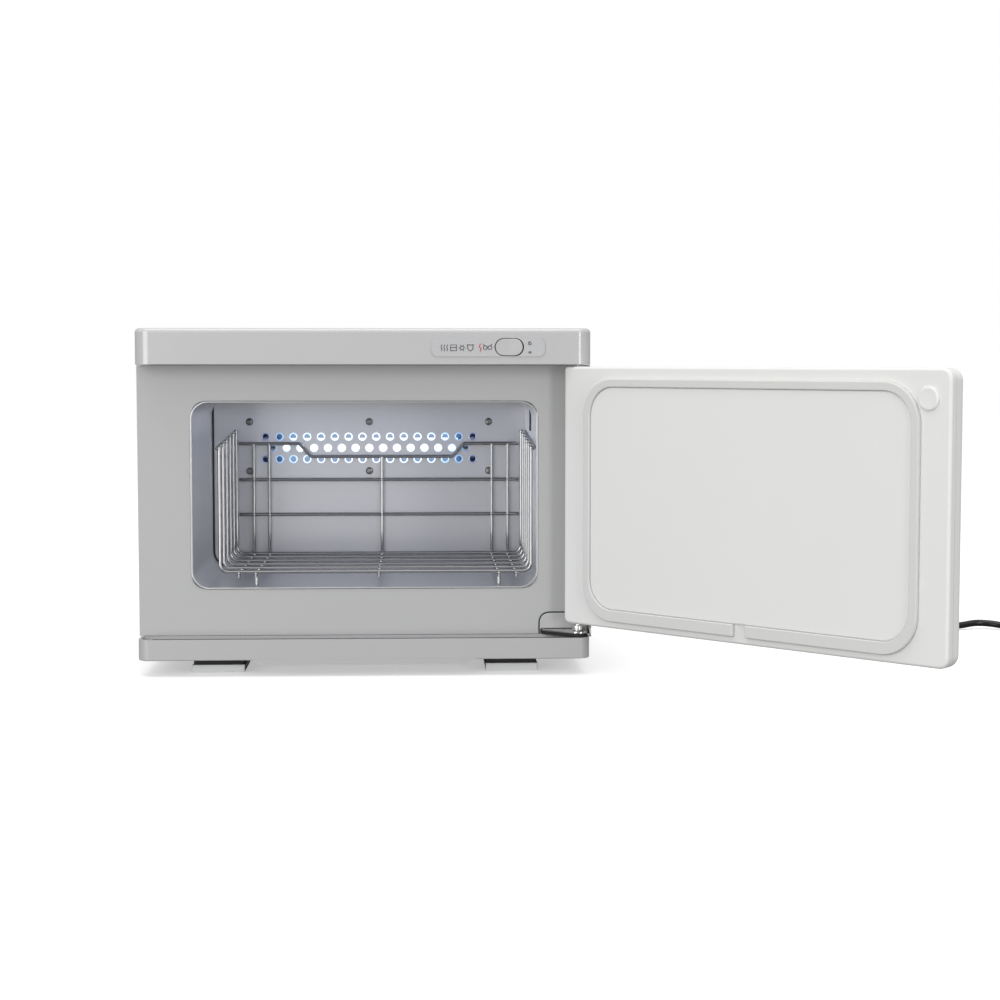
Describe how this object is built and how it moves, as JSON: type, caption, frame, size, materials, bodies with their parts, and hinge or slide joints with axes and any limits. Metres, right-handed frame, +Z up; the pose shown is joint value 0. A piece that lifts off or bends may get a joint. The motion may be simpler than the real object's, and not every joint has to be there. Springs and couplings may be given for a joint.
{
  "type": "uv sterilizer cabinet",
  "caption": "Counter-top towel warmer and UV sterilizer cabinet, with a side-hinged insulated door, a metal-lined chamber, a wire basket, a drip tray and a mains cord.",
  "frame": {"origin": "middle of the cabinet's width and depth, on the underside of the steel service cover, 10.8 mm above the soles of the feet", "axes": "+Z up, -Y out of the front of the cabinet, +X towards the door's hinge side"},
  "size_m": [0.8482, 0.5683, 0.2684],
  "materials": {
    "painted_steel": "fine satin powder coat",
    "cover_plastic": "semi gloss moulded",
    "base_plastic": "moulded",
    "door_plastic": "semi gloss moulded",
    "gasket": "soft silicone",
    "overlay_film": "satin film",
    "rocker_plastic": "gloss moulded",
    "aluminium": "polished sheet",
    "reflector": "bright sheet",
    "chrome_wire": "bright chrome plate",
    "plated_steel": "zinc plated",
    "lamp_glass": "clear quartz tube, lit",
    "lamp_holder_plastic": "moulded",
    "bush_plastic": "moulded acetal",
    "black_plastic": "black PVC",
    "foot_rubber": "black",
    "foot_shoe": "light grey moulded",
    "insulation": "heat resistant foam and fibre",
    "heater": "silicone mat"
  },
  "bodies": {
    "cabinet": {"front_frame": "painted_steel", "outer_case": "painted_steel", "back_panel": "painted_steel", "bottom_cover": "painted_steel", "top_cover": "cover_plastic", "base": "base_plastic", "control_overlay": "overlay_film", "switch_body": "black_plastic", "liner": "aluminium", "liner_back": "aluminium", "lamp_housing": "reflector", "uv_lamp": "lamp_glass", "lamp_holder_left": "lamp_holder_plastic", "lamp_holder_right": "lamp_holder_plastic", "insulation": "insulation", "heater_mat": "heater", "thermostat": "black_plastic", "thermal_fuse": "plated_steel", "ballast": "plated_steel", "starter": "cover_plastic", "terminal_block": "lamp_holder_plastic", "wiring_loom": "black_plastic", "lower_hinge_block": "painted_steel", "lower_hinge_leaf": "plated_steel", "lower_hinge_pin": "plated_steel", "upper_hinge_leaf": "plated_steel", "upper_hinge_pin": "plated_steel", "strain_relief": "black_plastic", "power_cord": "black_plastic", "cord_coil": "black_plastic", "plug_body": "black_plastic", "plug_pin_left": "chrome_wire", "plug_pin_right": "chrome_wire", "lamp_screw_1": "plated_steel", "lamp_screw_2": "plated_steel", "lamp_screw_3": "plated_steel", "lamp_screw_4": "plated_steel", "lamp_screw_5": "plated_steel", "lamp_screw_6": "plated_steel", "foot_front_left": "foot_rubber", "foot_shoe_front_left": "foot_shoe", "foot_front_right": "foot_rubber", "foot_shoe_front_right": "foot_shoe", "foot_rear_left": "foot_rubber", "foot_shoe_rear_left": "foot_shoe", "foot_rear_right": "foot_rubber", "foot_shoe_rear_right": "foot_shoe"},
    "door": {"door_outer_panel": "door_plastic", "door_inner_panel": "door_plastic", "door_gasket": "gasket", "door_magnet": "door_plastic", "door_insulation": "insulation", "door_bush_lower": "bush_plastic", "door_bush_upper": "bush_plastic"},
    "basket": {"basket_floor": "chrome_wire", "basket_left_side": "chrome_wire", "basket_right_side": "chrome_wire", "basket_back": "chrome_wire"},
    "drip_tray_body": {"drip_tray": "cover_plastic"},
    "rocker": {"rocker_switch": "rocker_plastic"}
  },
  "joints": [
    {"name": "door_hinge", "type": "hinge", "parent": "cabinet", "child": "door", "pos_m": [0.166, -0.1183, 0.1282], "axis": [0, 0, 1], "range_deg": [-133.2, 36.8]},
    {"name": "drip_tray_slide", "type": "slide", "parent": "cabinet", "child": "drip_tray_body", "axis": [0, -1, 0], "range_m": [0, 0.065]},
    {"name": "basket_slide", "type": "slide", "parent": "cabinet", "child": "basket", "axis": [0, -1, 0], "range_m": [0, 0.0035]},
    {"name": "rocker_tilt", "type": "hinge", "parent": "cabinet", "child": "rocker", "pos_m": [0.1119, -0.124, 0.2431], "axis": [0, 0, 1], "range_deg": [0, 12]}
  ]
}
